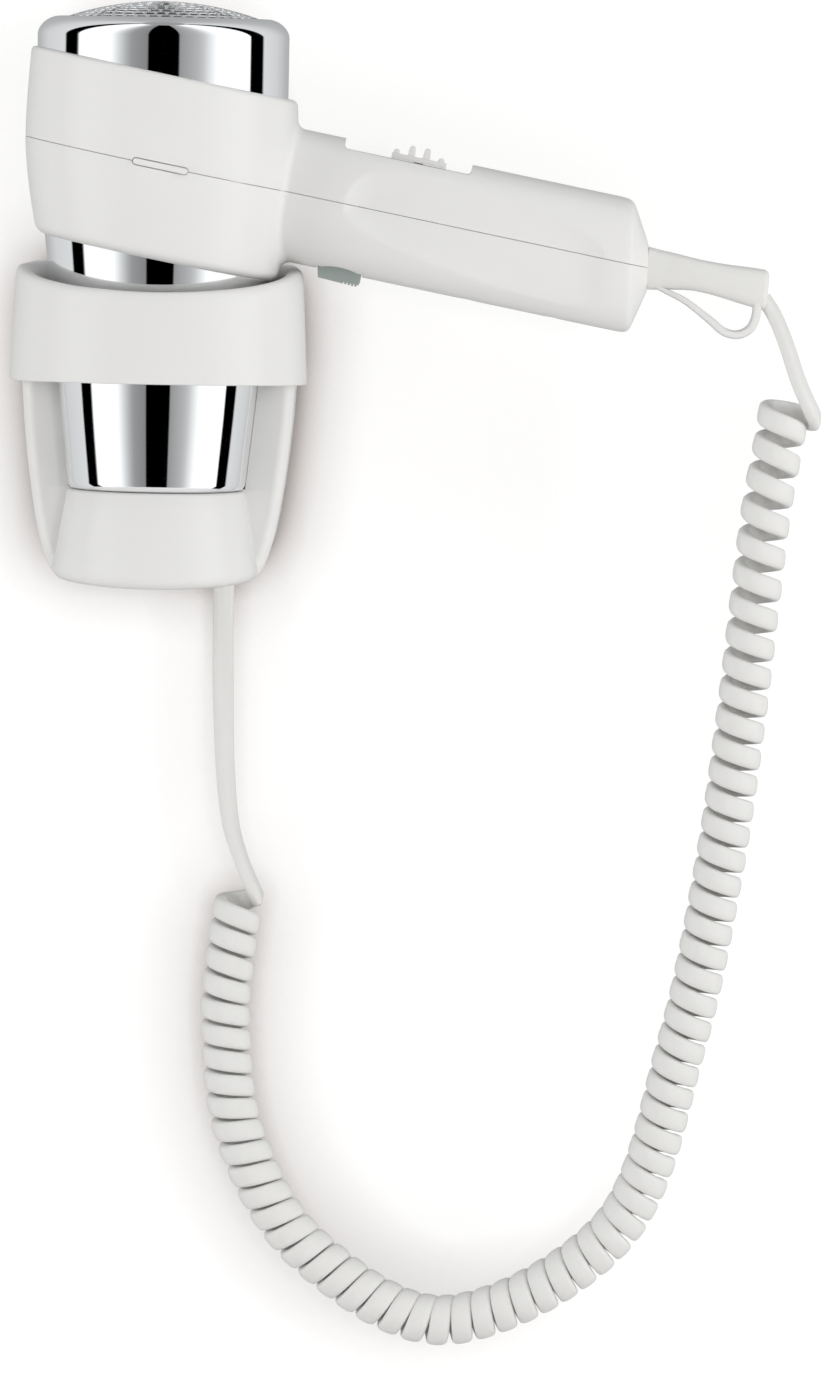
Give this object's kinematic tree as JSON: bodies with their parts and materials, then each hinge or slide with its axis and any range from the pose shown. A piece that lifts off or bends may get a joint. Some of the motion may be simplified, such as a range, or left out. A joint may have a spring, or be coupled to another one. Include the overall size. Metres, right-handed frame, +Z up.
{
  "type": "wall-mounted hair dryer",
  "caption": "Wall-mounted hair dryer with a chromed barrel in an oblique white housing with a handle, resting nozzle down in a white wall holder, and a curly cord between them.",
  "frame": {"origin": "on the flat back face of the wall plate, straight behind the barrel's axis and level with the lower edge of the collar", "axes": "+X to the right facing the wall (the handle's side), +Y into the wall, +Z up along the barrel, intake up and nozzle down"},
  "size_m": [0.2554, 0.1015, 0.4335],
  "materials": {
    "chrome": "mirror-bright plated plastic",
    "white_plastic": "gloss moulded plastic",
    "cord_white": "satin flexible PVC",
    "button_grey": "satin",
    "dark_plastic": "satin",
    "terminal_plastic": "satin",
    "mica": "pressed mica sheet, satin",
    "steel": "plated steel",
    "heater_wire": "drawn resistance wire",
    "circuit_board": "solder mask"
  },
  "bodies": {
    "wall_holder": {"wall_plate": "white_plastic", "holder_ring": "white_plastic", "holder_cover": "white_plastic", "wall_screw_1": "steel", "wall_screw_2": "steel", "terminal_block": "terminal_plastic", "cord_gland": "cord_white", "cord_lead_holder": "cord_white", "cord_coil": "cord_white"},
    "dryer": {"rear_cap": "chrome", "intake_grille": "chrome", "lint_screen": "steel", "front_barrel": "chrome", "motor_mount": "dark_plastic", "motor": "steel", "motor_board": "circuit_board", "suppression_capacitor": "mica", "heater_board_front": "mica", "heater_board_side": "mica", "heater_coil": "heater_wire", "mica_sleeve": "mica", "thermostat": "steel", "thermal_fuse": "steel", "outlet_grille": "steel", "housing_rear": "white_plastic", "housing_front": "white_plastic", "housing_screw_1": "steel", "housing_screw_2": "steel", "seam_insert": "white_plastic", "speed_switch_body": "dark_plastic", "button_spring": "steel", "button_microswitch": "dark_plastic", "strain_relief": "cord_white", "cord_clamp": "dark_plastic", "clamp_screw_1": "steel", "clamp_screw_2": "steel", "cord_lead_dryer": "cord_white"},
    "fan": {"fan_impeller": "dark_plastic", "motor_shaft": "steel"},
    "speed_switch": {"switch_slider": "white_plastic"},
    "button": {"safety_button": "button_grey"}
  },
  "joints": [
    {"name": "dryer_lift", "type": "slide", "parent": "wall_holder", "child": "dryer", "axis": [0, 0, 1], "range_m": [0, 0.1]},
    {"name": "fan_spin", "type": "hinge", "parent": "dryer", "child": "fan", "pos_m": [0, -0.054, 0.098], "axis": [0, 0, 1], "continuous": true},
    {"name": "speed_slide", "type": "slide", "parent": "dryer", "child": "speed_switch", "axis": [-0.9821, 0, 0.1882], "range_m": [0, 0.01]},
    {"name": "button_press", "type": "slide", "parent": "dryer", "child": "button", "axis": [0.1882, 0, 0.9821], "range_m": [0, 0.0025], "stiffness_N_per_m": 400, "springref_m": -0.002, "deforming": ["button_spring"]}
  ]
}
